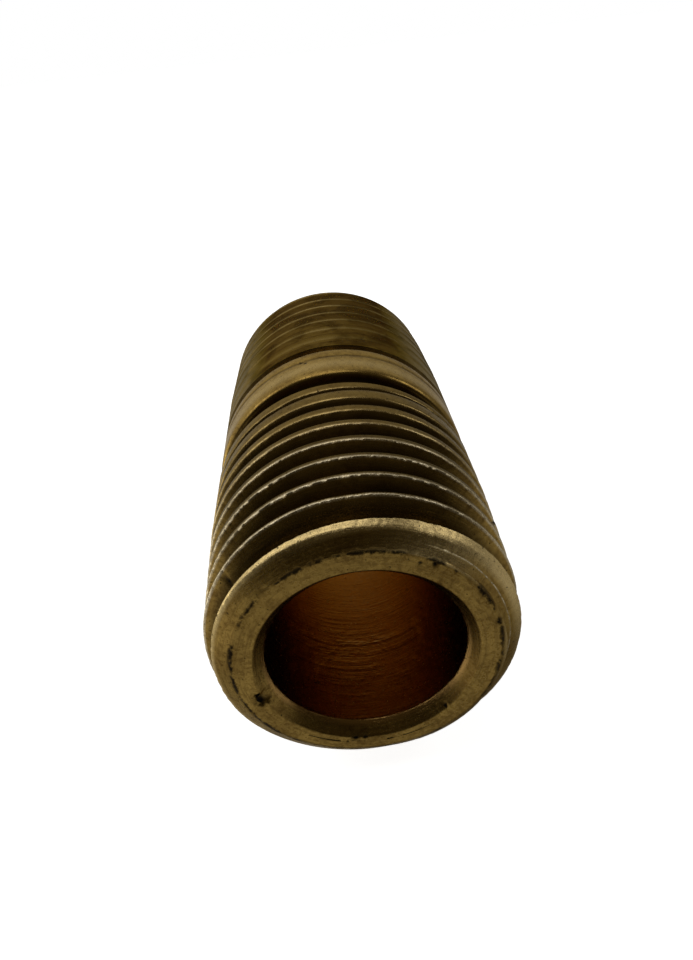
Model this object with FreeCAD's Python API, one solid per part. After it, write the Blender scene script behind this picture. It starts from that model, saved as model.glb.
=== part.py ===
import FreeCAD, Part
import math
import os

# Brass close nipple: one length of tube with a right-hand tapered pipe thread cut on each end.
# The bore axis lies along +Y, the front end faces -Y, +Z is up, and the origin is the middle of
# the part. Millimetres. "Depth" is always the distance in from the nearer end face.

# Thread form: 1/4-18 tapered pipe thread, 60 degree flanks, 1 in 16 taper on the diameter.
INCH = 25.4
THREADS_PER_INCH = 18
PITCH = INCH / THREADS_PER_INCH
TAPER_PER_SIDE = 1 / 32
FLANK_TANGENT = math.tan(math.radians(30))
CREST_RADIUS_AT_END = 6.628
ROOT_RADIUS_AT_END = 5.570
ROOT_FLAT = 0.05
PIPE_RADIUS = 0.540 * INCH / 2

# Lengths along the axis.
LENGTH = 28.3
FRONT_RELIEF_DEPTH = 11.85
FRONT_BAND_DEPTH = 13.30
REAR_RELIEF_DEPTH = 11.40
REAR_BAND_DEPTH = 11.80

# Ends and bore.
BORE_RADIUS = 4.15
COUNTERSINK_RADIUS = 4.63
COUNTERSINK_DEPTH = 0.55
FACE_OUTER_RADIUS = 5.50

# Each end is turned with two bevels, a steep one beside the face and a gentle one up to the crest.
BEVEL_DEPTH = 0.46
BEVEL_RADIUS = 6.27
SHOULDER_DEPTH = 1.32

# Plain band between the two threads, and the grooves where the threads run out beside it.
FRONT_RELIEF_CUT = 0.75
REAR_RELIEF_CUT = 0.38
FRONT_LIP_RADIUS = 0.35
REAR_LIP_RADIUS = 0.12

# Towards the band the root climbs away from its cone, slowly and then steeply, so the crests
# grow broader turn by turn and the groove runs out just before the relief groove.
FADE_START_DEPTH = 1.5
LEAD_RISE = 0.40
RUNOUT_RISE = 0.85
RUNOUT_POWER = 12

# Where a crest passes the top of the part, as a depth from its own end.
FRONT_CREST_DEPTH = 2.03
REAR_CREST_DEPTH = 2.78

# How the thread grooves are cut.
CUTTER_LEAD_IN = 1.7
CUTTER_CLEARANCE = 0.05
POINTS_PER_TURN = 16
CUTTERS_PER_TURN = 2
RUNOUT_TOLERANCE = 0.001
KEEP_DIRECTION = 1


def station(depth):
    """Place on the Y axis of a depth measured from the front face."""
    return depth - LENGTH / 2


def stock_radius(depth):
    """Radius of the thread crests: a cone from the end that meets the pipe's own outside."""
    return min(CREST_RADIUS_AT_END + depth * TAPER_PER_SIDE, PIPE_RADIUS)


def root_radius(depth, relief_depth):
    """Radius of the bottom of the thread groove."""
    cone = ROOT_RADIUS_AT_END + depth * TAPER_PER_SIDE
    faded = max(depth - FADE_START_DEPTH, 0) / (relief_depth - FADE_START_DEPTH)
    return cone + LEAD_RISE * faded + RUNOUT_RISE * faded ** RUNOUT_POWER


def runout_depth(relief_depth):
    """Depth at which the bottom of the groove has climbed just clear of the surface."""
    shallow, deep = 0, relief_depth
    while deep - shallow > RUNOUT_TOLERANCE:
        middle = (shallow + deep) / 2
        if root_radius(middle, relief_depth) < stock_radius(middle) + CUTTER_CLEARANCE / 2:
            shallow = middle
        else:
            deep = middle
    return shallow


def profile_point(radius, depth):
    return FreeCAD.Vector(radius, station(depth), 0)


def line(start, end):
    return Part.LineSegment(profile_point(*start), profile_point(*end)).toShape()


def lip(start, middle, end):
    return Part.Arc(profile_point(*start), profile_point(*middle), profile_point(*end)).toShape()


def rounded_corner(radius, depth, size, toward_rear):
    """Start, middle and end of the arc that rounds the band's edge at this depth."""
    side = 1 if toward_rear else -1
    inset = size * (1 - math.sqrt(0.5))
    low = (radius - size, depth)
    middle = (radius - inset, depth + side * inset)
    high = (radius, depth + side * size)
    return low, middle, high


def end_outline(depth_of):
    """Half section of one end, from the bore to where the crest cone meets the pipe's outside."""
    cylinder_depth = (PIPE_RADIUS - CREST_RADIUS_AT_END) / TAPER_PER_SIDE
    return [
        (BORE_RADIUS, depth_of(COUNTERSINK_DEPTH)),
        (COUNTERSINK_RADIUS, depth_of(0)),
        (FACE_OUTER_RADIUS, depth_of(0)),
        (BEVEL_RADIUS, depth_of(BEVEL_DEPTH)),
        (stock_radius(SHOULDER_DEPTH), depth_of(SHOULDER_DEPTH)),
        (PIPE_RADIUS, depth_of(cylinder_depth)),
    ]


def relief_outline(start_depth, end_depth, cut):
    """A groove between the last thread and the band, with one sloping and one steep wall."""
    floor_radius = PIPE_RADIUS - cut
    return [
        (PIPE_RADIUS, start_depth),
        (floor_radius, start_depth + cut * FLANK_TANGENT / 2),
        (floor_radius, end_depth),
    ]


def stock_outline():
    """Edges of the half section of the whole nipple before threading."""
    def from_front(depth):
        return depth

    def from_rear(depth):
        return LENGTH - depth

    band_rear = from_rear(REAR_BAND_DEPTH)
    rear_groove_end = from_rear(REAR_RELIEF_DEPTH)
    front_lip = rounded_corner(PIPE_RADIUS, FRONT_BAND_DEPTH, FRONT_LIP_RADIUS, True)
    rear_lip = rounded_corner(PIPE_RADIUS, band_rear, REAR_LIP_RADIUS, False)
    front_groove = relief_outline(FRONT_RELIEF_DEPTH, FRONT_BAND_DEPTH, FRONT_RELIEF_CUT)
    rear_floor_radius = PIPE_RADIUS - REAR_RELIEF_CUT
    rear_floor_end = rear_groove_end - REAR_RELIEF_CUT * FLANK_TANGENT / 2
    rear_groove = [
        (rear_floor_radius, band_rear),
        (rear_floor_radius, rear_floor_end),
        (PIPE_RADIUS, rear_groove_end),
    ]
    front_side = end_outline(from_front) + front_groove + [front_lip[0]]
    rear_side = [rear_lip[0]] + rear_groove + end_outline(from_rear)[::-1]
    edges = [line(a, b) for a, b in zip(front_side, front_side[1:])]
    edges.append(lip(*front_lip))
    edges.append(line(front_lip[2], rear_lip[2]))
    edges.append(lip(*rear_lip[::-1]))
    edges += [line(a, b) for a, b in zip(rear_side, rear_side[1:])]
    edges.append(line(rear_side[-1], front_side[0]))
    return edges


def turned_stock():
    face = Part.Face(Part.Wire(stock_outline()))
    return face.revolve(FreeCAD.Vector(0, 0, 0), FreeCAD.Vector(0, 1, 0), 360)


def helix_point(radius, y, turns):
    """A point on the thread: it recedes clockwise as seen from the front end."""
    angle = math.radians(90) - 2 * math.pi * turns
    return FreeCAD.Vector(radius * math.cos(angle), y, radius * math.sin(angle))


def groove_section(depth, turns, from_front, relief_depth):
    """Four corners of the thread groove's section, bottom pair first."""
    y = station(depth) if from_front else station(LENGTH - depth)
    bottom = root_radius(depth, relief_depth)
    top = stock_radius(depth) + CUTTER_CLEARANCE
    half_bottom = ROOT_FLAT / 2
    half_top = half_bottom + (top - bottom) * FLANK_TANGENT
    return [
        helix_point(bottom, y - half_bottom, turns),
        helix_point(bottom, y + half_bottom, turns),
        helix_point(top, y + half_top, turns),
        helix_point(top, y - half_top, turns),
    ]


def rail_curve(points, turns):
    """A smooth helical edge line, with the turn count as its parameter."""
    curve = Part.BSplineCurve()
    curve.interpolate(Points=points, Parameters=turns)
    return curve


def closed_cutter(curves, start, end):
    """The solid between four rails, over one stretch of the helix."""
    edges = [curve.toShape(start, end) for curve in curves]
    faces = [Part.makeRuledSurface(edges[i], edges[(i + 1) % 4], KEEP_DIRECTION) for i in range(4)]
    for turn in (start, end):
        loop = [curve.value(turn) for curve in curves]
        faces.append(Part.Face(Part.makePolygon(loop + loop[:1])))
    shell = Part.makeShell(faces)
    shell.sewShape()
    solid = Part.makeSolid(shell)
    if solid.Volume < 0:
        solid.reverse()
    return solid


def thread_cutters(crest_depth, relief_depth, from_front):
    """The helical groove of one thread, as a row of solids to take away from the stock."""
    last_depth = runout_depth(relief_depth)
    groove_at_top = crest_depth + PITCH / 2
    first_turn = (-CUTTER_LEAD_IN - groove_at_top) / PITCH
    last_turn = (last_depth - groove_at_top) / PITCH
    steps = math.ceil((last_turn - first_turn) * POINTS_PER_TURN)
    turns = [first_turn + (last_turn - first_turn) * step / steps for step in range(steps + 1)]
    rails = [[], [], [], []]
    for turn in turns:
        depth = groove_at_top + turn * PITCH
        spin = turn if from_front else -turn
        corners = groove_section(depth, spin, from_front, relief_depth)
        for rail, corner in zip(rails, corners):
            rail.append(corner)
    curves = [rail_curve(rail, turns) for rail in rails]
    pieces = math.ceil((last_turn - first_turn) * CUTTERS_PER_TURN)
    ends = [first_turn + (last_turn - first_turn) * piece / pieces for piece in range(pieces + 1)]
    return [closed_cutter(curves, start, end) for start, end in zip(ends, ends[1:])]


def threaded_nipple():
    nipple = turned_stock()
    cutters = thread_cutters(FRONT_CREST_DEPTH, FRONT_RELIEF_DEPTH, True)
    cutters += thread_cutters(REAR_CREST_DEPTH, REAR_RELIEF_DEPTH, False)
    for cutter in cutters:
        nipple = nipple.cut(cutter)
    return nipple


os.makedirs("parts", exist_ok=True)
nipple = threaded_nipple()
nipple.exportStep("parts/threaded_nipple.step")
box = nipple.BoundBox
print("solids", len(nipple.Solids), "faces", len(nipple.Faces), "valid", nipple.isValid())
print("volume", round(nipple.Volume, 1), "mm3")
print("box x", round(box.XMin, 3), round(box.XMax, 3))
print("box y", round(box.YMin, 3), round(box.YMax, 3))
print("box z", round(box.ZMin, 3), round(box.ZMax, 3))
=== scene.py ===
import math

import bpy
import numpy as np
from mathutils import Matrix, Vector


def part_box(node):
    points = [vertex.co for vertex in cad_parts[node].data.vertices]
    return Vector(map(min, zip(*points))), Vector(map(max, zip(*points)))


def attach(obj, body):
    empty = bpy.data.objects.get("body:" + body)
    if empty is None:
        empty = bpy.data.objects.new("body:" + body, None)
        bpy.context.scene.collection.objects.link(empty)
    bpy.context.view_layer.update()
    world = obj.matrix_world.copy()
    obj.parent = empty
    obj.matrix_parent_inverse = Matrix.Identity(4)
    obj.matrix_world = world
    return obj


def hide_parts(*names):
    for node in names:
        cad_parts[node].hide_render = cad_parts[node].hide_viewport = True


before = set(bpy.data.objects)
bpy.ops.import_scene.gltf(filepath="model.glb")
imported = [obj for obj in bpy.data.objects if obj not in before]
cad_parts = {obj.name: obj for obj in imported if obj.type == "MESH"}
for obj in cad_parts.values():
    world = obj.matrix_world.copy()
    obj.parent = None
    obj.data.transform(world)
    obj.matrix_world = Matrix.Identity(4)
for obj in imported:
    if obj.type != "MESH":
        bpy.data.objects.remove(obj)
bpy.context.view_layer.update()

# A worn brass close nipple. The CAD node has the true thread; the mesh made here is the same
# shape with the wear of the real one: rolled rims, nicked crests, pits and dirt.
# Lengths in this part of the script are millimetres, and the mesh is scaled to metres at the end.

MM = 0.001
NODE = "threaded_nipple"
LOW, HIGH = (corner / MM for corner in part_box(NODE))
LENGTH = HIGH.y - LOW.y
PIPE_RADIUS = (HIGH.x - LOW.x) / 2
HALF = LENGTH / 2

# Thread form, as in the CAD model.
PITCH = 25.4 / 18
TAPER_PER_SIDE = 1 / 32
FLANK_TANGENT = math.tan(math.radians(30))
CREST_RADIUS_AT_END = 6.628
ROOT_RADIUS_AT_END = 5.570
ROOT_FLAT = 0.05
FADE_START_DEPTH = 1.5
LEAD_RISE = 0.40
RUNOUT_RISE = 0.85
RUNOUT_POWER = 12

# Places along the axis, as depths from the end named first.
FRONT_RELIEF = 11.85
FRONT_BAND = 13.30
REAR_RELIEF = 11.40
REAR_BAND = 11.80
FRONT_CREST = 2.03
REAR_CREST = 2.78

BORE_RADIUS = 4.15
COUNTERSINK_RADIUS = 4.63
COUNTERSINK_DEPTH = 0.55
FACE_OUTER_RADIUS = 5.50
BEVEL_DEPTH = 0.46
BEVEL_RADIUS = 6.27
SHOULDER_DEPTH = 1.32
BURR_RADIUS = 5.90
FRONT_RELIEF_CUT = 0.75
REAR_RELIEF_CUT = 0.38

# Rounding of worn corners.
CREST_ROUNDING = 0.05
RUNOUT_CREST_ROUNDING = 0.20
RIM_ROUNDING = 0.07
EDGE_ROUNDING = 0.025
NOSE_ROUNDING = 0.05
LIP_ROUNDING = 0.60
MOUTH_ROUNDING = 0.06
CORNER_CUT = 0.03

# Depths over which the crests go from crisp to worn, and parts of a pitch that bound the rolled rim.
CRESTS_WORN_FLAT = (4.5, 11.0)
RIM_SIDE = (-0.10, 0.15)
RIM_SIDE_END = (0.0, 0.08)

# The rear grooves are packed with old sealant and grime, to this far below the crests.
FILL_BELOW_CREST = 0.045
FILL_ROUNDING = 0.03

# Mesh density.
COLUMNS = 640
FACE_STEP = 0.07
BAND_STEP = 0.09
BORE_STEP = 0.35
LEAST_WIDTH = 0.02
TOUCHING = 1e-6
SMOOTH_BELOW_DEGREES = 40


# ---------------------------------------------------------------- smooth random fields

def hashed(cells, seed):
    """A repeatable value from 0 to 1 for each integer cell."""
    x, y, z = (cells[:, i].astype(np.int64) for i in range(3))
    mixed = (x * 73856093) ^ (y * 19349663) ^ (z * 83492791) ^ (seed * 2654435761)
    mixed = (mixed ^ (mixed >> 13)) * 1274126177
    mixed = mixed & 0x7FFFFFFF
    mixed = (mixed ^ (mixed >> 16)) & 0xFFFFF
    return mixed / 0xFFFFF


def noise(points, size, seed):
    """Smooth noise from -1 to 1, with features of about this size."""
    scaled = points / size
    base = np.floor(scaled)
    part = scaled - base
    part = part * part * (3 - 2 * part)
    total = np.zeros(len(points))
    for corner in range(8):
        offset = np.array([corner & 1, (corner >> 1) & 1, corner >> 2])
        weight = np.prod(np.where(offset, part, 1 - part), axis=1)
        total += weight * hashed(base + offset, seed)
    return 2 * total - 1


def layered(points, size, seed, layers=3):
    total = np.zeros(len(points))
    for layer in range(layers):
        total += noise(points, size / 2 ** layer, seed + layer) / 2 ** layer
    return total / (2 - 2 / 2 ** layers)


def ramp(value, low, high):
    """0 below low, 1 above high, smooth between."""
    t = np.clip((value - low) / (high - low), 0, 1)
    return t * t * (3 - 2 * t)


# ---------------------------------------------------------------- the thread as a height field

def stock_radius(depth):
    return np.minimum(CREST_RADIUS_AT_END + depth * TAPER_PER_SIDE, PIPE_RADIUS)


def root_radius(depth, relief):
    cone = ROOT_RADIUS_AT_END + depth * TAPER_PER_SIDE
    faded = np.maximum(depth - FADE_START_DEPTH, 0) / (relief - FADE_START_DEPTH)
    return cone + LEAD_RISE * faded + RUNOUT_RISE * faded ** RUNOUT_POWER


def nose_radius(depth):
    """The end's two bevels, worn into one rounded nose."""
    steep = FACE_OUTER_RADIUS + depth * (BEVEL_RADIUS - FACE_OUTER_RADIUS) / BEVEL_DEPTH
    shoulder = CREST_RADIUS_AT_END + SHOULDER_DEPTH * TAPER_PER_SIDE
    gentle_slope = (shoulder - BEVEL_RADIUS) / (SHOULDER_DEPTH - BEVEL_DEPTH)
    return smooth_low(steep, BEVEL_RADIUS + (depth - BEVEL_DEPTH) * gentle_slope, NOSE_ROUNDING)


def smooth_low(a, b, size):
    """The lower of two heights, with the corner between them rounded over this size."""
    blend = np.clip(0.5 + (b - a) / (2 * size), 0, 1)
    return b + (a - b) * blend - size * blend * (1 - blend)


class Thread:
    """One end's thread: where its groove runs and how deep it is."""

    def __init__(self, from_front, crest, relief):
        self.from_front = from_front
        self.relief = relief
        groove = crest + PITCH / 2
        self.groove_y = groove - HALF if from_front else HALF - groove

    def depth(self, y):
        return y + HALF if self.from_front else HALF - y

    def half_top(self, y):
        """Half the groove's width where it meets the crest."""
        depth = self.depth(y)
        height = stock_radius(depth) - root_radius(depth, self.relief)
        return ROOT_FLAT / 2 + np.maximum(height, 0) * FLANK_TANGENT

    def heights(self, y, turn):
        """Radii of the groove's flank, the crest and the end's nose, and the place across the groove."""
        depth = self.depth(y)
        root = root_radius(depth, self.relief)
        phase = (y - self.groove_y) / PITCH - turn
        across = phase - np.round(phase)
        if not self.from_front:
            across = -across
        flank = root + np.maximum(np.abs(across) * PITCH - ROOT_FLAT / 2, 0) / FLANK_TANGENT
        return flank, stock_radius(depth), nose_radius(depth), across

    def rim_share(self, across):
        """1 on the groove's side nearest this end, where the end rim is rolled over."""
        return ramp(-across, *RIM_SIDE) * ramp(0.5 + across, *RIM_SIDE_END)

    def radius(self, y, turn):
        flank, crest, nose, across = self.heights(y, turn)
        towards_band = ramp(self.depth(y), *CRESTS_WORN_FLAT)
        rounding = CREST_ROUNDING + (RUNOUT_CREST_ROUNDING - CREST_ROUNDING) * towards_band
        surface = smooth_low(flank, crest, rounding)
        if not self.from_front:
            surface = -smooth_low(-surface, FILL_BELOW_CREST - crest, FILL_ROUNDING)
        size = EDGE_ROUNDING + (RIM_ROUNDING - EDGE_ROUNDING) * self.rim_share(across)
        return smooth_low(surface, nose, size)


FRONT = Thread(True, FRONT_CREST, FRONT_RELIEF)
REAR = Thread(False, REAR_CREST, REAR_RELIEF)


# ---------------------------------------------------------------- the mesh

class Skin:
    """Collects vertices in rings of COLUMNS, and the faces between them."""

    def __init__(self):
        self.radius = []
        self.y = []
        self.turn = []
        self.count = 0
        self.faces = []
        self.column_turns = np.arange(COLUMNS) / COLUMNS

    def add(self, radius, y, turn):
        radius, y, turn = np.broadcast_arrays(radius, y, turn)
        self.radius.append(radius.astype(float))
        self.y.append(y.astype(float))
        self.turn.append(turn.astype(float))
        ids = np.arange(self.count, self.count + len(y))
        self.count += len(y)
        return ids

    def ring(self, radius, y):
        return self.add(radius, y, self.column_turns)

    def join(self, first, second):
        """Faces between two rings, the second further along the outline."""
        a, b = first, np.roll(first, -1)
        c, d = np.roll(second, -1), second
        self.faces.append(np.stack([a, b, c, d], axis=1))

    def helical(self, thread, start_ring, start_y, end_y):
        """Rows that follow the groove, so crests stay crisp, from one ring to the end ring it returns."""
        end_ring = self.ring(thread.radius(np.full(COLUMNS, end_y), self.column_turns), end_y)
        first = math.floor((start_y - thread.groove_y) / PITCH) - 2
        last = math.ceil((end_y - thread.groove_y) / PITCH) + 2
        pattern = row_pattern()
        grid = []
        for turn in range(first, last):
            for side, share in pattern:
                centre = thread.groove_y + (turn + self.column_turns) * PITCH
                half = np.clip(thread.half_top(centre), LEAST_WIDTH, PITCH / 2 - LEAST_WIDTH)
                grid.append(centre + row_offset(side, share, half))
        grid = np.array(grid)
        ids = np.empty(grid.shape, int)
        ids[:] = -1
        inside = (grid > start_y + TOUCHING) & (grid < end_y - TOUCHING)
        rows, columns = np.nonzero(inside)
        places = grid[inside]
        turns = columns / COLUMNS
        ids[inside] = self.add(thread.radius(places, turns), places, turns)
        low = grid <= start_y + TOUCHING
        high = grid >= end_y - TOUCHING
        all_columns = np.broadcast_to(np.arange(COLUMNS), grid.shape)
        ids[low] = start_ring[all_columns[low]]
        ids[high] = end_ring[all_columns[high]]
        shift = len(pattern)
        wrapped = np.empty(len(grid), int)
        wrapped[:-shift] = ids[shift:, 0]
        wrapped[-shift:] = end_ring[0]
        right = np.concatenate([ids[:, 1:], wrapped[:, None]], axis=1)
        a, b = ids[:-1], right[:-1]
        c, d = right[1:], ids[1:]
        self.faces.append(np.stack([a.ravel(), b.ravel(), c.ravel(), d.ravel()], axis=1))
        return end_ring


def row_pattern():
    """Rows over one pitch as (side of the groove, share): from the crest's middle, down and up again."""
    crest = [0.0, 0.45, 0.8]
    flank = [1.0, 1.12, 1.35, 1.6, 1.82]
    down = [(-1, share) for share in crest + flank]
    up = [(1, share) for share in (flank + [2.0])[::-1]]
    up += [(1, share) for share in crest[1:][::-1]]
    return down + [(-1, 2.0)] + up


def row_offset(side, share, half):
    """Distance from the groove's centre. Share 0 is mid crest, 1 the crest's edge, 2 the root's edge."""
    on_crest = PITCH / 2 + (half - PITCH / 2) * np.minimum(share, 1)
    on_flank = half + (ROOT_FLAT / 2 - half) * np.clip(share - 1, 0, 1)
    return side * np.where(share <= 1, on_crest, on_flank)


MOST_OF_HALF = 0.45


def rounded(points, radius, steps=4):
    """An outline of straight runs with the corners between them rounded by short curves."""
    result = [np.array(points[0], float)]
    for before, corner, after in zip(points, points[1:], points[2:]):
        corner = np.array(corner, float)
        to_before = np.array(before, float) - corner
        to_after = np.array(after, float) - corner
        reach_before = min(radius, MOST_OF_HALF * np.linalg.norm(to_before))
        reach_after = min(radius, MOST_OF_HALF * np.linalg.norm(to_after))
        start = corner + to_before / np.linalg.norm(to_before) * reach_before
        end = corner + to_after / np.linalg.norm(to_after) * reach_after
        for step in range(steps + 1):
            t = step / steps
            result.append((1 - t) ** 2 * start + 2 * t * (1 - t) * corner + t ** 2 * end)
    result.append(np.array(points[-1], float))
    return result


def spaced(outline, step, long_step=None):
    """The same outline with its runs cut into even steps, longer ones on a run past a millimetre."""
    result = [outline[0]]
    for start, end in zip(outline, outline[1:]):
        run = np.linalg.norm(end - start)
        pieces = max(1, math.ceil(run / (long_step if long_step and run > 1 else step)))
        result += [start + (end - start) * piece / pieces for piece in range(1, pieces + 1)]
    return result


def lay_rings(skin, ring, outline):
    """Joins plain rings along an outline of (radius, y), after the ring already made at its start."""
    for radius, y in outline[1:]:
        following = skin.ring(radius, y)
        skin.join(ring, following)
        ring = following
    return ring


def build_skin():
    skin = Skin()
    face_edge = FACE_OUTER_RADIUS - CORNER_CUT
    bevel_start = FACE_OUTER_RADIUS + CORNER_CUT
    first = skin.ring(face_edge, -HALF)
    start = skin.ring(bevel_start, CORNER_CUT - HALF)
    skin.join(first, start)
    ring = skin.helical(FRONT, start, CORNER_CUT - HALF, FRONT_RELIEF - HALF)
    floor = PIPE_RADIUS - FRONT_RELIEF_CUT
    band_start = FRONT_BAND - HALF
    band_end = HALF - REAR_BAND
    rear_floor = PIPE_RADIUS - REAR_RELIEF_CUT
    middle = [
        (PIPE_RADIUS, FRONT_RELIEF - HALF),
        (floor, FRONT_RELIEF - HALF + FRONT_RELIEF_CUT * FLANK_TANGENT / 2),
        (floor, band_start),
        (PIPE_RADIUS, band_start + LEAST_WIDTH),
        (PIPE_RADIUS, band_end - LEAST_WIDTH),
        (rear_floor, band_end),
        (rear_floor, HALF - REAR_RELIEF - REAR_RELIEF_CUT * FLANK_TANGENT / 2),
        (PIPE_RADIUS, HALF - REAR_RELIEF),
    ]
    outline = spaced(rounded(middle, LIP_ROUNDING), BAND_STEP)
    ring = lay_rings(skin, ring, outline[:-1])
    rear_y = HALF - REAR_RELIEF
    rear_radius = REAR.radius(np.full(COLUMNS, rear_y), skin.column_turns)
    rear_start = skin.ring(rear_radius, rear_y)
    skin.join(ring, rear_start)
    ring = skin.helical(REAR, rear_start, rear_y, HALF - CORNER_CUT)
    closing = [
        (bevel_start, HALF - CORNER_CUT),
        (face_edge, HALF),
        (COUNTERSINK_RADIUS, HALF),
        (BORE_RADIUS, HALF - COUNTERSINK_DEPTH),
        (BORE_RADIUS, COUNTERSINK_DEPTH - HALF),
        (COUNTERSINK_RADIUS, -HALF),
        (face_edge, -HALF),
    ]
    outline = spaced(rounded(closing, MOUTH_ROUNDING), FACE_STEP, BORE_STEP)
    ring = lay_rings(skin, ring, outline[:-1])
    skin.join(ring, first)
    return skin


# ---------------------------------------------------------------- wear, and masks for painted highlights and shade

# Single dents and pits: (degrees round from +X, radius, depth from the front, size, how deep).
DENTS = [
    (-163, 4.66, 0.00, 0.24, 0.34),
    (-160, 4.85, 0.00, 0.10, 0.10),
    (-102, 4.66, 0.02, 0.14, 0.08),
    (-97, 4.62, 0.05, 0.12, 0.08),
    (143, 6.35, 1.60, 0.13, 0.12),
    (148, 6.35, 2.70, 0.13, 0.12),
    (151, 6.30, 1.35, 0.10, 0.12),
    (103, 6.86, 15.40, 0.12, 0.06),
    (101, 6.86, 15.15, 0.10, 0.05),
    (57, 5.35, 0.00, 0.10, 0.07),
    (63, 5.20, 0.00, 0.08, 0.05),
    (12, 5.45, 0.00, 0.09, 0.06),
    (131, 6.30, 0.90, 0.14, 0.07),
    (72, 6.30, 0.95, 0.16, 0.06),
    (-48, 4.55, 0.12, 0.12, 0.06),
    (215, 6.70, 8.20, 0.16, 0.08),
    (20, 6.70, 5.10, 0.18, 0.09),
    (-75, 6.70, 20.5, 0.20, 0.10),
    (170, 6.75, 23.1, 0.18, 0.09),
]
NICK_DEPTH = 0.085
COARSE_NICKS = 0.35
FINE_NICKS = 0.40
RIM_NICKS = 0.45
SCUFF_DEPTH = 0.035
FACE_WEAR = 0.012
DENT_RAGGEDNESS = 0.45

# The front end's rim is worn away most on its underside.
UNDERSIDE_WEAR = 0.16
UNDERSIDE_TURN = 0.52
UNDERSIDE_WIDTH = 0.13
UNDERSIDE_INNER_RADIUS = 5.0
UNDERSIDE_DEPTHS = (0.6, 1.2)

# The plain band has a painted highlight stripe behind its lip, and one scribed line.
LIP_BEHIND_EDGE = 1.15
LIP_WIDTH = 0.50
LIP_HIGHLIGHT = 0.55
BAND_LINE = 15.4
BAND_LINE_WIDTH = 0.12
BAND_LINE_DEPTH = 0.03
BAND_LINE_GRIME = 0.5

# Where rubbing, painted highlights and painted shade show: heights below the crest or the nose, and widths
# from an edge.
CREST_TOP = (0.08, 0.02)
LEADING_EDGE = 0.09
LINE_LOSS = 0.65
RIM_LAND = (0.16, 0.05)
RIM_EDGE = 0.35
RIM_EDGE_OFFSET = 0.10
STEP_WIDTH = 0.10
BEVEL_EDGE = 0.12
NOSE_EDGE = 0.05
TOP_SHADE_FADE = (6.0, 10.0)
TOP_SHADE_LOSS = 0.6


def bell(distance, width):
    """1 in the middle, falling away over this width."""
    return np.exp(-(distance / width) ** 2)


def raised_parts(radius, y, turn, outside):
    """1 where rubbing has bared the metal (rims, crests), with painted highlights on the crests' edges and
    the band's lip; and 1 on the crest tops behind those edges, where shade is painted.
    """
    bare_and_highlight = np.zeros(len(radius))
    shaded_tops = np.zeros(len(radius))
    for thread in (FRONT, REAR):
        flank, crest, nose, across = thread.heights(y, turn)
        depth = thread.depth(y)
        near = outside & (depth < thread.relief)
        from_edge = np.abs(across) * PITCH - thread.half_top(y)
        # Each crest's edge facing its own end: worn metal with a painted highlight in a paler colour.
        leading = bell(from_edge, LEADING_EDGE) * (across > 0)
        top = ramp(radius, crest - CREST_TOP[0], crest - CREST_TOP[1])
        line = top * leading * (1 - LINE_LOSS * ramp(depth, *CRESTS_WORN_FLAT))
        land = ramp(radius, nose - RIM_LAND[0], nose - RIM_LAND[1])
        rolled = thread.rim_share(across) * bell(flank - nose - RIM_EDGE_OFFSET, RIM_EDGE)
        rim = ramp(depth, BEVEL_DEPTH - BEVEL_EDGE, BEVEL_DEPTH) * np.maximum(land, rolled)
        step = bell(flank - nose, STEP_WIDTH)
        cut = ramp(crest - nose, 0.0, NOSE_EDGE)
        # Painted shade on the crest tops behind their bright edges, fading along the thread.
        top_shade_kept = 1 - TOP_SHADE_LOSS * ramp(depth, *TOP_SHADE_FADE)
        shaded_tops = np.maximum(shaded_tops, near * top * (1 - leading) * (1 - cut) * top_shade_kept)
        bare_and_highlight = np.maximum(bare_and_highlight, near * np.maximum(line * (1 - cut), np.maximum(rim, step) * cut))
    # A painted highlight stripe on the band behind its lip.
    lip = bell(y + HALF - FRONT_BAND - LIP_BEHIND_EDGE, LIP_WIDTH)
    return np.maximum(bare_and_highlight, LIP_HIGHLIGHT * outside * lip), shaded_tops


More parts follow.
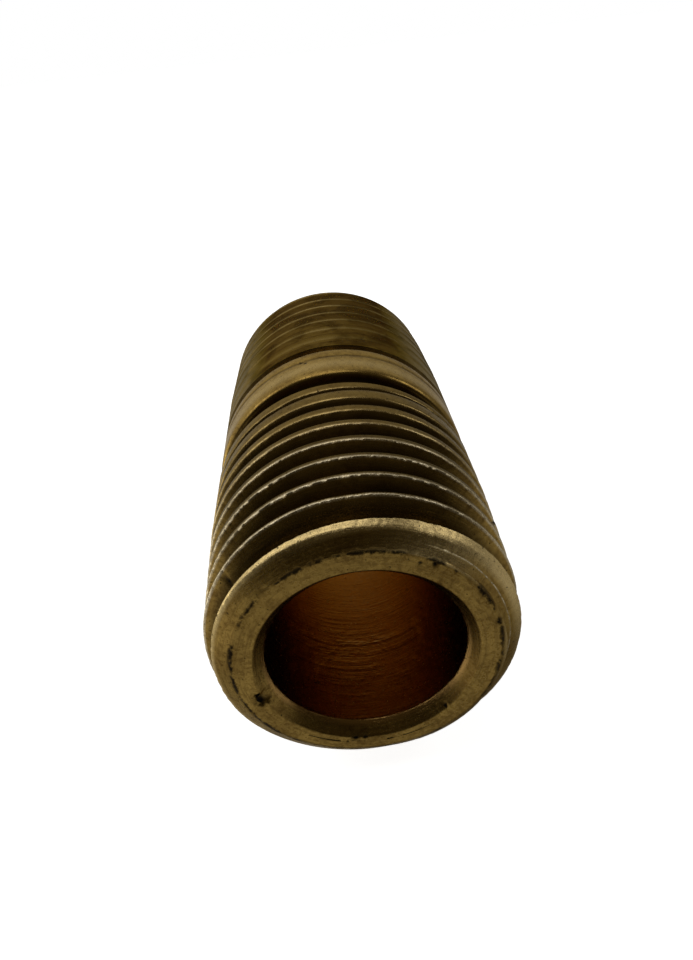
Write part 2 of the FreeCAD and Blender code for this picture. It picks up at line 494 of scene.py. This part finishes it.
def worn(points, radius, y, turn):
    """How far each point moves inwards and along, where metal is bared and painted highlights lie, where
    painted shade darkens crest tops, and how dirty it is.
    """
    end_depth = np.minimum(y + HALF, HALF - y)
    on_face = (end_depth < 0.005) & (radius > COUNTERSINK_RADIUS - 0.1)
    inside = radius < COUNTERSINK_RADIUS + 0.02
    outside = ~on_face & ~inside
    bare_and_highlight, shaded_tops = raised_parts(radius, y, turn, outside)
    edge = bare_and_highlight * (1 - ramp(y + HALF, FRONT_RELIEF, FRONT_RELIEF + 0.3))

    coarse = ramp(layered(points, 0.42, 11), 0.10, 0.75)
    fine = ramp(noise(points, 0.13, 23), -0.1, 0.7)
    on_thread = ramp(end_depth, 1.0, 1.5)
    nicks = COARSE_NICKS * coarse + FINE_NICKS * fine
    inward = NICK_DEPTH * edge * nicks * (RIM_NICKS + (1 - RIM_NICKS) * on_thread)
    inward += SCUFF_DEPTH * outside * ramp(layered(points, 1.5, 37), 0.25, 0.8)
    along = FACE_WEAR * on_face * ramp(layered(points, 0.8, 41), 0.1, 0.9)
    off_underside = turn - np.round(turn - UNDERSIDE_TURN) - UNDERSIDE_TURN
    underside = bell(off_underside, UNDERSIDE_WIDTH) * (radius > UNDERSIDE_INNER_RADIUS)
    inward += UNDERSIDE_WEAR * underside * (1 - ramp(y + HALF, *UNDERSIDE_DEPTHS))
    line = bell(y + HALF - BAND_LINE, BAND_LINE_WIDTH)
    inward += BAND_LINE_DEPTH * outside * line

    grime = BAND_LINE_GRIME * outside * line
    for angle, dent_radius, depth, size, push in DENTS:
        around = math.radians(angle)
        centre = np.array([dent_radius * math.cos(around), depth - HALF, dent_radius * math.sin(around)])
        away = np.linalg.norm(points - centre, axis=1) / size
        ragged = away * (1 + DENT_RAGGEDNESS * noise(points, size * 0.55, 61))
        hollow = np.exp(-ragged ** 2)
        inward += np.where(outside, push * hollow, 0)
        along += np.where(on_face, push * hollow, 0)
        inward -= np.where(inside & ~on_face, push * hollow, 0)
        grime = np.maximum(grime, ramp(hollow, 0.25, 0.7))
    return inward, along, bare_and_highlight, shaded_tops, np.clip(grime, 0, 1)


def nipple_mesh():
    skin = build_skin()
    radius = np.concatenate(skin.radius)
    y = np.concatenate(skin.y)
    turn = np.concatenate(skin.turn)
    angle = math.pi / 2 - 2 * math.pi * turn
    points = np.stack([radius * np.cos(angle), y, radius * np.sin(angle)], axis=1)
    inward, along, bare_and_highlight, shaded_tops, grime = worn(points, radius, y, turn)
    radius = np.minimum(radius - inward, PIPE_RADIUS)
    y = y - np.sign(y) * along
    points = np.stack([radius * np.cos(angle), y, radius * np.sin(angle)], axis=1)
    faces = []
    for face in np.concatenate(skin.faces).tolist():
        loop = [v for i, v in enumerate(face) if v != face[i - 1]]
        if len(loop) >= 3:
            faces.append(loop)
    mesh = bpy.data.meshes.new(NODE + "_worn")
    mesh.from_pydata((points * MM).tolist(), [], faces)
    mesh.update()
    for name, values in (("bare_and_highlight", bare_and_highlight), ("shaded_tops", shaded_tops), ("grime", grime)):
        layer = mesh.attributes.new(name, "FLOAT", "POINT")
        layer.data.foreach_set("value", values.astype(np.float32))
    return mesh


def make_nipple():
    mesh = nipple_mesh()
    piece = bpy.data.objects.new(NODE + "_worn", mesh)
    bpy.context.scene.collection.objects.link(piece)
    mesh.shade_smooth()
    mesh.set_sharp_from_angle(angle=math.radians(SMOOTH_BELOW_DEGREES))
    mesh.materials.append(aged_brass())
    return piece


# ---------------------------------------------------------------- material

class Graph:
    """Short ways to add and join shader nodes."""

    def __init__(self, tree):
        self.tree = tree

    def put(self, socket, value):
        if isinstance(value, bpy.types.NodeSocket):
            self.tree.links.new(value, socket)
        else:
            socket.default_value = value

    def node(self, kind, inputs=(), **settings):
        made = self.tree.nodes.new(kind)
        for name, value in settings.items():
            setattr(made, name, value)
        for name, value in dict(inputs).items():
            self.put(made.inputs[name], value)
        return made

    def math(self, operation, a, b=0.0, clamp=False):
        made = self.node("ShaderNodeMath", operation=operation, use_clamp=clamp)
        self.put(made.inputs[0], a)
        self.put(made.inputs[1], b)
        return made.outputs[0]

    def times(self, first, *others):
        for other in others:
            first = self.math("MULTIPLY", first, other)
        return first

    def plus(self, first, *others):
        for other in others:
            first = self.math("ADD", first, other)
        return first

    def minus(self, a, b):
        return self.math("SUBTRACT", a, b)

    def absolute(self, value):
        return self.math("ABSOLUTE", value)

    def highest(self, first, *others):
        for other in others:
            first = self.math("MAXIMUM", first, other)
        return first

    def noise(self, vector, scale, detail=3.0, roughness=0.55, distortion=0.0):
        settings = {"Vector": vector, "Scale": scale, "Detail": detail,
                    "Roughness": roughness, "Distortion": distortion}
        return self.node("ShaderNodeTexNoise", settings).outputs["Fac"]

    def spread(self, value, low, high, to_low=0.0, to_high=1.0):
        """A smooth fade: to_low up to low, to_high from high on."""
        made = self.node("ShaderNodeMapRange", interpolation_type="SMOOTHSTEP")
        for name, number in (("Value", value), ("From Min", low), ("From Max", high),
                             ("To Min", to_low), ("To Max", to_high)):
            self.put(made.inputs[name], number)
        return made.outputs["Result"]

    def mix(self, share, a, b, blend="MIX"):
        made = self.node("ShaderNodeMix", data_type="RGBA", blend_type=blend)
        self.put(made.inputs[0], share)
        self.put(made.inputs[6], a)
        self.put(made.inputs[7], b)
        return made.outputs[2]

    def vector(self, x, y, z):
        made = self.node("ShaderNodeCombineXYZ")
        for socket, value in zip(made.inputs, (x, y, z)):
            self.put(socket, value)
        return made.outputs[0]

    def attribute(self, name):
        return self.node("ShaderNodeAttribute", attribute_name=name).outputs["Fac"]


OLIVE_GOLD = (0.500, 0.325, 0.085, 1)
BROWN = (0.200, 0.115, 0.028, 1)
SEALANT_BROWN = (0.310, 0.222, 0.088, 1)
# A dark brown for stains and the dull run-out, also used as painted shade in the grooves, on rear-facing
# flanks and on crest tops.
STAIN_AND_SHADE_BROWN = (0.045, 0.028, 0.009, 1)
# Bright worn metal. These two colours also paint the highlights on the crests' edges and on the band behind
# its lip.
WORN_AND_HIGHLIGHT_BRIGHT = (0.820, 0.620, 0.280, 1)
PALE_WEAR_AND_HIGHLIGHT = (0.950, 0.840, 0.600, 1)
COPPERY = (0.520, 0.310, 0.100, 1)
DIRT = (0.008, 0.005, 0.003, 1)

# Tints of the metal's reflection at a glancing angle, clean and under old sealant, with a painted sheen on
# the rear thread's left and right sides.
BRASS_EDGE_TINT = (0.75, 0.70, 0.58, 1)
SEALANT_EDGE_TINT = (0.12, 0.11, 0.06, 1)
SIDE_SHEEN_EDGE_TINT = (0.75, 0.70, 0.55, 1)
DIRT_EDGE_TINT = (0.15, 0.12, 0.10, 1)

# Noises: features per millimetre, detail, roughness and distortion.
RING_NOISE = (7.0, 4.0, 0.75)
FINE_RING_NOISE = (24.0, 2.0, 0.6)
BORE_RING_NOISE = (3.4, 3.0, 0.62)
PATCH_NOISE = (0.55, 5.0, 0.62, 0.4)
MOTTLE_NOISE = (4.5, 6.0, 0.72, 0.3)
GRAIN_NOISE = (22.0, 3.0, 0.7)
SPECK_NOISE = (7.0, 2.0, 0.5)
BROKEN_NOISE = (1.3, 3.0, 0.6)

# How much the tool rings vary round the axis.
RING_DRIFT = 0.35
BORE_RING_DRIFT = 0.10

# Fades, as (from, to, result at from, result at to), with 0 and 1 for results left out.
# Places are millimetres: radii, depths from the nearest end or from the front, and sideways.
FRONT_HALF = (-0.2, 0.0, 1.0, 0.0)
NOT_RIM = (1.2, 1.5)
PATCH_TARNISH = (0.36, 0.70, 0.0, 0.50)
MOTTLE_TARNISH = (0.36, 0.68, 0.0, 0.55)
RING_TARNISH = (0.46, 0.66, 0.0, 0.60)
RINGS_ON_END = (0.9, 1.4, 1.0, 0.15)
RUNOUT_DULL = (6.0, 9.5)
RUNOUT_DULL_END = (12.9, 13.8, 0.50, 0.0)
SEALANT_MOTTLE = (0.3, 0.6, 1.0, 0.75)
SEALANT_STAINS = (0.40, 0.62, 0.0, 0.45)
GROOVE_DEPTH = (0.04, 0.60)
BEHIND_RIM = (0.9, 1.4)
TURNED_AWAY = (0.35, 0.70)
GRAIN_POLISH = (0.34, 0.58)
LEAST_POLISH = (0.0, 1.0, 0.25, 0.65)
SEALANT_POLISH = (0.0, 1.0, 1.0, 0.12)
PALE_CRESTS_END = (5.0, 9.0, 1.0, 0.0)
BURR_WIDTH = (0.004, 0.030, 1.0, 0.0)
BURR_START = (-0.30, -0.10)
BURR_END = (0.95, 1.15, 1.0, 0.0)
BURR_BREAKS = (0.40, 0.52, 0.25, 1.0)
BURR_POLISH = (0.35, 0.55, 0.4, 1.0)
SHADED_SIDE = (0.5, 3.5, 0.0, 0.70)
CORNER_BROKEN_WIDTH = (0.42, 0.62, 0.06, 0.15)
CORNER_DEPTH = (0.16, 0.24, 1.0, 0.0)
CORNER_BREAKS = (0.42, 0.52)
CORNER_MOTTLE = (0.36, 0.50, 0.35, 1.0)
SPECK_SIZE = (0.68, 0.73)
BORE_DIRT = (0.0, 1.0, 1.0, 0.5)
SHEEN_SIDES = (3.0, 5.8)
MOTTLE_ROUGHNESS = (0.30, 0.75, 0.22, 0.34)
BORE_RINGS_START = (1.2, 3.4, 0.5, 3.6)
BORE_RINGS_END = (5.0, 8.5, 1.0, 0.12)
BORE_RING_PATCHES = (0.40, 0.60, 0.35, 1.0)
RING_HEIGHT = (0.6, 1.2, 1.5, 0.9)
BARE_GRAIN = (0.0, 1.0, 0.12, 0.55)
BORE_GRAIN = (0.0, 1.0, 1.0, 0.3)
SMOOTHER_BAND = (8.0, 13.0, 1.0, 0.40)

# Shares of one layer in the mix, and wobbles of a line in millimetres.
# Share of painted shade on the crest tops.
TOP_SHADE = 0.80
# Shares of painted shade in the grooves and on the front thread's rear-facing flanks.
GROOVE_SHADE = 0.80
SHELTERED_SHADE = 0.85
BURR_WOBBLE = 0.10
CORNER_WOBBLE = 0.35
CORNER_CORE = 0.010
CORNER_DARKNESS = 0.9
SPECK_DARKNESS = 0.8

# Roughness and height added by the layers.
DIRT_METAL_LOSS = 0.8
SPECULAR_LEVEL = 0.2
DIRT_ROUGHNESS = 0.35
SEALANT_ROUGHNESS = 0.12
BORE_SMOOTHNESS = 0.06
FINE_RING_HEIGHT = 0.35
BURR_HEIGHT = 1.6
MOTTLE_HEIGHT = 0.22
CORNER_HOLLOW = 1.5
BUMP_STRENGTH = 0.5
BUMP_DISTANCE = 0.00003


class AgedBrass:
    """The layers of old brass. Every field is a shader socket, with lengths in millimetres."""

    def __init__(self, graph):
        self.graph = graph
        coordinates = graph.node("ShaderNodeTexCoord")
        scaled = graph.node("ShaderNodeVectorMath", operation="SCALE")
        graph.put(scaled.inputs[0], coordinates.outputs["Object"])
        graph.put(scaled.inputs["Scale"], 1 / MM)
        place = scaled.outputs[0]
        self.x, self.y, z = graph.node("ShaderNodeSeparateXYZ", {"Vector": place}).outputs
        normal = graph.node("ShaderNodeSeparateXYZ", {"Vector": coordinates.outputs["Normal"]})
        self.facing_rear = normal.outputs[1]
        self.radius = graph.math("SQRT", graph.plus(graph.times(self.x, self.x), graph.times(z, z)))
        self.angle = graph.math("ARCTAN2", z, self.x)
        self.end_depth = graph.minus(HALF, graph.absolute(self.y))
        self.from_front = graph.plus(self.y, HALF)

        # Rings left by the cutting tool vary along the section and hardly at all round it.
        ring_place = graph.vector(self.radius, self.y, graph.times(self.angle, RING_DRIFT))
        bore_place = graph.vector(0.0, self.y, graph.times(self.angle, BORE_RING_DRIFT))
        self.rings = graph.noise(ring_place, *RING_NOISE)
        self.fine_rings = graph.noise(ring_place, *FINE_RING_NOISE)
        self.bore_rings = graph.noise(bore_place, *BORE_RING_NOISE)
        self.patches = graph.noise(place, *PATCH_NOISE)
        self.mottle = graph.noise(place, *MOTTLE_NOISE)
        self.grain = graph.noise(place, *GRAIN_NOISE)
        self.specks = graph.noise(place, *SPECK_NOISE)
        self.broken = graph.noise(place, *BROKEN_NOISE)

        self.bare_and_highlight = graph.attribute("bare_and_highlight")
        self.shaded_tops = graph.attribute("shaded_tops")
        self.grime = graph.attribute("grime")
        self.in_bore = graph.spread(self.radius, BORE_RADIUS + 0.05, BORE_RADIUS + 0.22, 1.0, 0.0)
        self.rear_thread = graph.spread(self.y, HALF - REAR_BAND, HALF - REAR_RELIEF + 0.2)
        self.front_half = graph.spread(self.y, *FRONT_HALF)
        self.not_rim = graph.spread(self.end_depth, *NOT_RIM)
        self.burr = self.make_burr()
        self.corner = self.make_corner()
        self.dirt = self.make_dirt()

    def off_line(self, line_radius, wobbling, wobble):
        """Distance from a ring of this radius that wanders by a noise."""
        graph = self.graph
        wander = graph.times(graph.minus(wobbling, 0.5), wobble)
        return graph.absolute(graph.plus(graph.minus(self.radius, line_radius), wander))

    def make_burr(self):
        """A thin broken ridge on the right of the front bevel."""
        graph = self.graph
        off_burr = self.off_line(BURR_RADIUS, self.patches, BURR_WOBBLE)
        burr = graph.times(graph.spread(off_burr, *BURR_WIDTH), graph.spread(self.angle, *BURR_START))
        burr = graph.times(burr, graph.spread(self.angle, *BURR_END), self.front_half)
        return graph.times(burr, graph.spread(self.mottle, *BURR_BREAKS))

    def make_corner(self):
        """An uneven dark line of dirt where the end face meets the bevel."""
        graph = self.graph
        off_corner = self.off_line(FACE_OUTER_RADIUS, self.mottle, CORNER_WOBBLE)
        width = graph.spread(self.broken, *CORNER_BROKEN_WIDTH)
        line = graph.spread(off_corner, CORNER_CORE, width, CORNER_DARKNESS, 0.0)
        line = graph.times(line, graph.spread(self.end_depth, *CORNER_DEPTH))
        line = graph.times(line, graph.spread(self.broken, *CORNER_BREAKS))
        return graph.times(line, graph.spread(self.mottle, *CORNER_MOTTLE))

    def make_dirt(self):
        graph = self.graph
        specks = graph.times(graph.spread(self.specks, *SPECK_SIZE), SPECK_DARKNESS)
        dirt = graph.highest(self.grime, specks, self.corner)
        return graph.times(dirt, graph.spread(self.in_bore, *BORE_DIRT))

    def tarnished(self):
        """Olive gold with brown tarnish and brown tool rings, duller towards the thread's run-out, with
        painted shade on the crest tops behind their edges.
        """
        graph = self.graph
        tarnish = graph.math("ADD", graph.spread(self.patches, *PATCH_TARNISH),
                             graph.spread(self.mottle, *MOTTLE_TARNISH), clamp=True)
        colour = graph.mix(tarnish, OLIVE_GOLD, BROWN)
        in_rings = graph.times(graph.spread(self.rings, *RING_TARNISH),
                               graph.spread(self.end_depth, *RINGS_ON_END))
        colour = graph.mix(in_rings, colour, BROWN)
        runout = graph.times(graph.spread(self.from_front, *RUNOUT_DULL),
                             graph.spread(self.from_front, *RUNOUT_DULL_END))
        dulled_and_shaded = graph.highest(runout, graph.times(self.shaded_tops, TOP_SHADE))
        return graph.mix(dulled_and_shaded, colour, STAIN_AND_SHADE_BROWN)

    def sealed(self, colour):
        """The rear thread is coated with old sealant, stained in places."""
        graph = self.graph
        coated = graph.times(self.rear_thread, graph.spread(self.mottle, *SEALANT_MOTTLE))
        colour = graph.mix(coated, colour, SEALANT_BROWN)
        stained = graph.times(self.rear_thread, graph.spread(self.patches, *SEALANT_STAINS))
        return graph.mix(stained, colour, STAIN_AND_SHADE_BROWN)

    def darkened_grooves(self, colour):
        """Painted shade in the grooves, and on the front thread's flanks that face the rear."""
        graph = self.graph
        taper = graph.plus(CREST_RADIUS_AT_END, graph.times(self.end_depth, TAPER_PER_SIDE))
        stock = graph.math("MINIMUM", taper, PIPE_RADIUS)
        # Painted shade, deeper into the grooves.
        sunk = graph.times(graph.spread(graph.minus(stock, self.radius), *GROOVE_DEPTH),
                           graph.spread(self.end_depth, *BEHIND_RIM),
                           graph.spread(self.radius, COUNTERSINK_RADIUS, FACE_OUTER_RADIUS))
        colour = graph.mix(graph.times(sunk, GROOVE_SHADE), colour, STAIN_AND_SHADE_BROWN)
        # Painted shade on the front thread's flanks that face the rear.
        sheltered = graph.times(graph.spread(self.facing_rear, *TURNED_AWAY), self.front_half)
        return graph.mix(graph.times(sheltered, SHELTERED_SHADE), colour, STAIN_AND_SHADE_BROWN)

    def bright_wear_and_highlights(self, colour):
        """Bright worn metal on rims, crests and the burr, with painted highlights on the crests' edges and on
        the band behind its lip.
        """
        graph = self.graph
        rim = graph.minus(1.0, self.not_rim)
        spotty = graph.spread(self.grain, *GRAIN_POLISH, graph.spread(rim, *LEAST_POLISH), 1.0)
        polish_and_highlight = graph.times(self.bare_and_highlight, spotty, graph.spread(self.rear_thread, *SEALANT_POLISH))
        on_crest = graph.times(self.not_rim, graph.spread(self.end_depth, *PALE_CRESTS_END))
        colour = graph.mix(polish_and_highlight, colour, graph.mix(on_crest, WORN_AND_HIGHLIGHT_BRIGHT, PALE_WEAR_AND_HIGHLIGHT))
        shining = graph.times(self.burr, graph.spread(self.grain, *BURR_POLISH))
        return graph.mix(shining, colour, PALE_WEAR_AND_HIGHLIGHT)

    def lined(self, colour):
        """The countersinks, with painted shade on their right side, and the coppery bore."""
        graph = self.graph
        # Painted shade on the countersinks' right side.
        cone = graph.times(graph.spread(self.radius, BORE_RADIUS, BORE_RADIUS + 0.10),
                           graph.spread(self.radius, COUNTERSINK_RADIUS - 0.08, COUNTERSINK_RADIUS, 1.0, 0.0))
        colour = graph.mix(graph.times(cone, graph.spread(self.x, *SHADED_SIDE)), colour, BROWN)
        return graph.mix(self.in_bore, colour, COPPERY)

    def colour(self):
        colour = self.darkened_grooves(self.sealed(self.tarnished()))
        return self.graph.mix(self.dirt, self.lined(self.bright_wear_and_highlights(colour)), DIRT)

    def edge_tint(self):
        graph = self.graph
        # A painted sheen: the rear thread's left and right sides reflect more at a glancing angle.
        sides = graph.spread(graph.absolute(self.x), *SHEEN_SIDES)
        sealant = graph.mix(sides, SEALANT_EDGE_TINT, SIDE_SHEEN_EDGE_TINT)
        return graph.mix(self.dirt, graph.mix(self.rear_thread, BRASS_EDGE_TINT, sealant), DIRT_EDGE_TINT)

    def roughness(self):
        graph = self.graph
        rough = graph.plus(graph.spread(self.mottle, *MOTTLE_ROUGHNESS),
                           graph.times(self.dirt, DIRT_ROUGHNESS),
                           graph.times(self.rear_thread, SEALANT_ROUGHNESS))
        return graph.minus(rough, graph.times(self.in_bore, BORE_SMOOTHNESS))

    def height(self):
        """Height of the fine relief: tool rings, grain on bared metal, the burr and mottling."""
        graph = self.graph
        bore_strength = graph.times(graph.spread(self.from_front, *BORE_RINGS_START),
                                    graph.spread(self.from_front, *BORE_RINGS_END),
                                    self.in_bore, graph.spread(self.patches, *BORE_RING_PATCHES))
        grain_strength = graph.times(graph.spread(self.bare_and_highlight, *BARE_GRAIN),
                                     graph.spread(self.in_bore, *BORE_GRAIN))
        height = graph.plus(graph.times(self.rings, graph.spread(self.end_depth, *RING_HEIGHT)),
                            graph.times(self.fine_rings, FINE_RING_HEIGHT),
                            graph.times(self.grain, grain_strength),
                            graph.times(self.burr, BURR_HEIGHT),
                            graph.times(self.mottle, MOTTLE_HEIGHT),
                            graph.times(self.bore_rings, bore_strength))
        height = graph.minus(height, graph.times(self.corner, CORNER_HOLLOW))
        return graph.times(height, graph.spread(self.from_front, *SMOOTHER_BAND))


def aged_brass():
    material = bpy.data.materials.new("aged_brass")
    material.use_nodes = True
    graph = Graph(material.node_tree)
    brass = AgedBrass(graph)
    shader = material.node_tree.nodes["Principled BSDF"]
    shader.inputs["Specular IOR Level"].default_value = SPECULAR_LEVEL
    graph.put(shader.inputs["Base Color"], brass.colour())
    graph.put(shader.inputs["Metallic"], graph.minus(1.0, graph.times(brass.dirt, DIRT_METAL_LOSS)))
    graph.put(shader.inputs["Specular Tint"], brass.edge_tint())
    graph.put(shader.inputs["Roughness"], brass.roughness())
    bump_settings = {"Height": brass.height(), "Strength": BUMP_STRENGTH, "Distance": BUMP_DISTANCE}
    bump = graph.node("ShaderNodeBump", bump_settings)
    graph.put(shader.inputs["Normal"], bump.outputs[0])
    return material


# ---------------------------------------------------------------- camera

# Millimetres and degrees. The camera stands in front of the near end, above it, and leans a little.
CAMERA_PLACE = (0.0, -34.84, 21.56)
CAMERA_TO_RIGHT = 1.5755
CAMERA_DOWN = 32.151
CAMERA_LEAN = -6.4733
LENS = 27.04
SENSOR_WIDTH = 36
SIDEWAYS_SHIFT = -0.0161
NEAREST_SEEN = 0.001
FARTHEST_SEEN = 10


def add_camera():
    data = bpy.data.cameras.new("camera")
    data.sensor_width = SENSOR_WIDTH
    data.lens = LENS
    data.shift_x = SIDEWAYS_SHIFT
    data.clip_start = NEAREST_SEEN
    data.clip_end = FARTHEST_SEEN
    camera = bpy.data.objects.new("camera", data)
    heading = Matrix.Rotation(math.radians(-CAMERA_TO_RIGHT), 4, "Z")
    dip = Matrix.Rotation(math.radians(90 - CAMERA_DOWN), 4, "X")
    lean = Matrix.Rotation(math.radians(CAMERA_LEAN), 4, "Z")
    camera.matrix_world = Matrix.Translation(Vector(CAMERA_PLACE) * MM) @ heading @ dip @ lean
    bpy.context.scene.collection.objects.link(camera)
    bpy.context.scene.camera = camera
    return camera


# ---------------------------------------------------------------- floor, light and world

FLOOR_HALF_WIDTH = 1.2
FLOOR_GREY = 0.9
FLOOR_ROUGHNESS = 0.9
FLOOR_GLOW = 0.92

# Soft square lights: name, azimuth, elevation, distance, width and radiance.
# Degrees and metres. Azimuth 0 is behind the object and +90 is to its right.
SOFTBOXES = [
    ("overhead_softbox", -40, 82, 0.28, 0.17, 1.15),
    ("left_softbox", -86, 40, 0.28, 0.14, 1.0),
    ("left_rear_softbox", -64, -16, 0.30, 0.15, 1.25),
    ("right_softbox", 80, 36, 0.28, 0.12, 1.10),
]

# Fades over the parts of a direction that point to the right, to the rear and up.
ROOM_LEFT_BIAS = (-0.75, 0.75, 1.35, 0.80)
LOW_GLOW = (-0.22, 0.08, 0.42, 0.0)
LOW_GLOW_REARWARD = (-0.98, -0.30, 0.45, 1.0)
LOW_GLOW_BOTTOM = (-0.85, -0.40, 0.30, 1.0)
FRONT_LOW_GLOW = (-0.82, -0.35, 0.42, 0.0)
FRONT_LOW_REARWARD = (-0.80, -0.10, 1.0, 0.0)
REAR_GLOW = (0.0, 0.60, 0.0, 0.40)
REAR_GLOW_LEFT = 0.55
RIGHT_GLOW = (0.50, 0.85, 0.0, 0.26)
RIGHT_GLOW_REARWARD = (-0.35, 0.0)
ROOM_BASE = (0.30, 0.80, 0.022, 0.05)
DIM_TO_LIT = (0.04, 0.20)
DIM_WARM = (1, 0.82, 0.50, 1)
LIT_WHITE = (1, 0.98, 0.94, 1)


def add_floor():
    size = FLOOR_HALF_WIDTH
    mesh = bpy.data.meshes.new("floor")
    corners = [(-size, -size, 0), (size, -size, 0), (size, size, 0), (-size, size, 0)]
    mesh.from_pydata(corners, [], [(0, 1, 2, 3)])
    floor = bpy.data.objects.new("floor", mesh)
    floor.location.z = -PIPE_RADIUS * MM
    bpy.context.scene.collection.objects.link(floor)
    material = bpy.data.materials.new("pale_floor")
    material.use_nodes = True
    shader = material.node_tree.nodes["Principled BSDF"]
    shader.inputs["Base Color"].default_value = (FLOOR_GREY, FLOOR_GREY, FLOOR_GREY, 1)
    shader.inputs["Roughness"].default_value = FLOOR_ROUGHNESS
    shader.inputs["Specular IOR Level"].default_value = 0
    shader.inputs["Emission Color"].default_value = (1, 1, 1, 1)
    shader.inputs["Emission Strength"].default_value = FLOOR_GLOW
    mesh.materials.append(material)
    floor.visible_glossy = False
    floor.visible_diffuse = False
    return floor


def softbox(name, azimuth, elevation, distance, size, radiance):
    """A square soft light that looks at the object."""
    around, up = math.radians(azimuth), math.radians(elevation)
    towards = Vector((math.sin(around) * math.cos(up), math.cos(around) * math.cos(up), math.sin(up)))
    data = bpy.data.lights.new(name, "AREA")
    data.shape = "SQUARE"
    data.size = size
    data.energy = radiance * math.pi * size * size
    light = bpy.data.objects.new(name, data)
    light.location = towards * distance
    light.rotation_euler = towards.to_track_quat("Z", "Y").to_euler()
    bpy.context.scene.collection.objects.link(light)
    return light


def room_brightness(graph, to_right, to_rear, to_top):
    """A dim room, brightest behind and to the left, with the glow of the table low down."""
    low = graph.times(graph.spread(to_top, *LOW_GLOW), graph.spread(to_rear, *LOW_GLOW_REARWARD),
                      graph.spread(to_top, *LOW_GLOW_BOTTOM))
    front_low = graph.times(graph.spread(to_top, *FRONT_LOW_GLOW),
                            graph.spread(to_rear, *FRONT_LOW_REARWARD))
    rear_and_left = graph.minus(to_rear, graph.times(to_right, REAR_GLOW_LEFT))
    rear = graph.spread(rear_and_left, *REAR_GLOW)
    right = graph.times(graph.spread(to_right, *RIGHT_GLOW), graph.spread(to_rear, *RIGHT_GLOW_REARWARD))
    room = graph.times(graph.highest(low, rear, front_low, right), graph.spread(to_right, *ROOM_LEFT_BIAS))
    return graph.plus(room, graph.spread(to_top, *ROOM_BASE))


def add_world():
    """A pale backdrop for the camera, and a dim room for the metal to reflect."""
    world = bpy.data.worlds.new("room")
    bpy.context.scene.world = world
    world.use_nodes = True
    tree = world.node_tree
    graph = Graph(tree)
    direction = graph.node("ShaderNodeTexCoord").outputs["Generated"]
    room = room_brightness(graph, *graph.node("ShaderNodeSeparateXYZ", {"Vector": direction}).outputs)
    backdrop = tree.nodes["Background"]
    backdrop.inputs["Color"].default_value = (1, 1, 1, 1)
    backdrop.inputs["Strength"].default_value = 1.0
    tint = graph.mix(graph.spread(room, *DIM_TO_LIT), DIM_WARM, LIT_WHITE)
    dim = graph.node("ShaderNodeBackground", {"Color": tint, "Strength": room})
    seen = graph.node("ShaderNodeLightPath").outputs["Is Camera Ray"]
    chosen = graph.node("ShaderNodeMixShader")
    graph.put(chosen.inputs[0], seen)
    graph.put(chosen.inputs[1], dim.outputs[0])
    graph.put(chosen.inputs[2], backdrop.outputs[0])
    graph.put(tree.nodes["World Output"].inputs["Surface"], chosen.outputs[0])


piece = make_nipple()
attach(piece, "root")
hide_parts(NODE)
add_camera()
add_floor()
for settings in SOFTBOXES:
    softbox(*settings)
add_world()
bpy.context.scene.view_settings.view_transform = "Standard"
